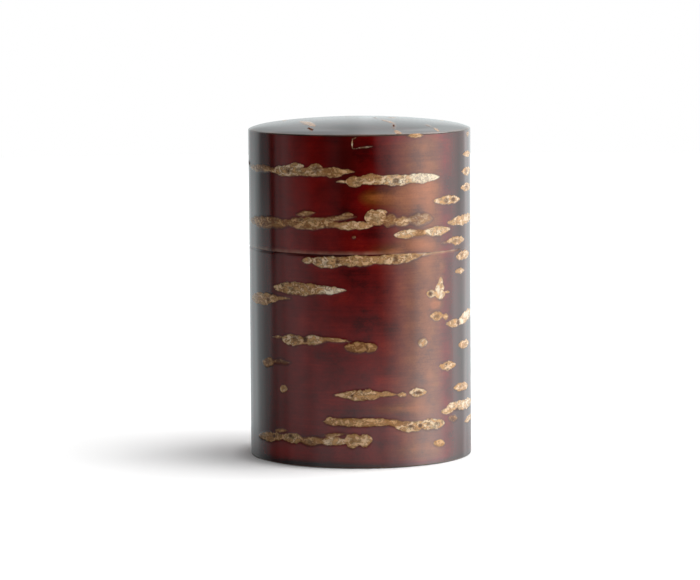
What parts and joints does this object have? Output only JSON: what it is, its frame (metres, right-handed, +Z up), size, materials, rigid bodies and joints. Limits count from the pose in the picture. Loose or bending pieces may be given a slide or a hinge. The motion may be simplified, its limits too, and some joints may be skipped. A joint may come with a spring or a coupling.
{
  "type": "tea canister",
  "caption": "Cylindrical tea canister of veneer tubes skinned in polished cherry bark, with a domed lid that slides over a collar and an inner lid with a turned knob.",
  "frame": {"origin": "centre of the flat bottom that the canister stands on", "axes": "+Z up along the canister's axis, -Y is the pictured front, and the joins of the bark sheets are at the back, on +Y"},
  "size_m": [0.08, 0.08, 0.1222],
  "materials": {
    "outer_bark": "polished cherry bark with pale lenticels",
    "lining_bark": "rubbed thin cherry bark",
    "veneer": "sanded laminated veneer",
    "board_wood": "planed board",
    "knob_wood": "turned and oiled"
  },
  "bodies": {
    "body": {"base_bark": "outer_bark", "base_board": "board_wood", "body_core": "veneer", "body_bark": "outer_bark", "inner_tube": "veneer", "collar_bark": "lining_bark", "tube_lining": "lining_bark", "floor_lining": "lining_bark"},
    "inner_lid": {"inner_lid_board": "board_wood", "inner_lid_top_bark": "outer_bark", "inner_lid_edge_band": "lining_bark", "inner_lid_hoop": "veneer", "inner_lid_underside": "lining_bark", "inner_lid_knob": "knob_wood"},
    "lid": {"lid_core": "veneer", "lid_bark": "outer_bark", "lid_lining": "lining_bark", "lid_board": "board_wood", "lid_top_bark": "outer_bark", "lid_ceiling": "lining_bark"}
  },
  "joints": [
    {"name": "inner_lid_lift", "type": "slide", "parent": "body", "child": "inner_lid", "axis": [0, 0, 1], "range_m": [0, 0.08]},
    {"name": "lid_lift", "type": "slide", "parent": "inner_lid", "child": "lid", "axis": [0, 0, 1], "range_m": [0, 0.06]}
  ]
}
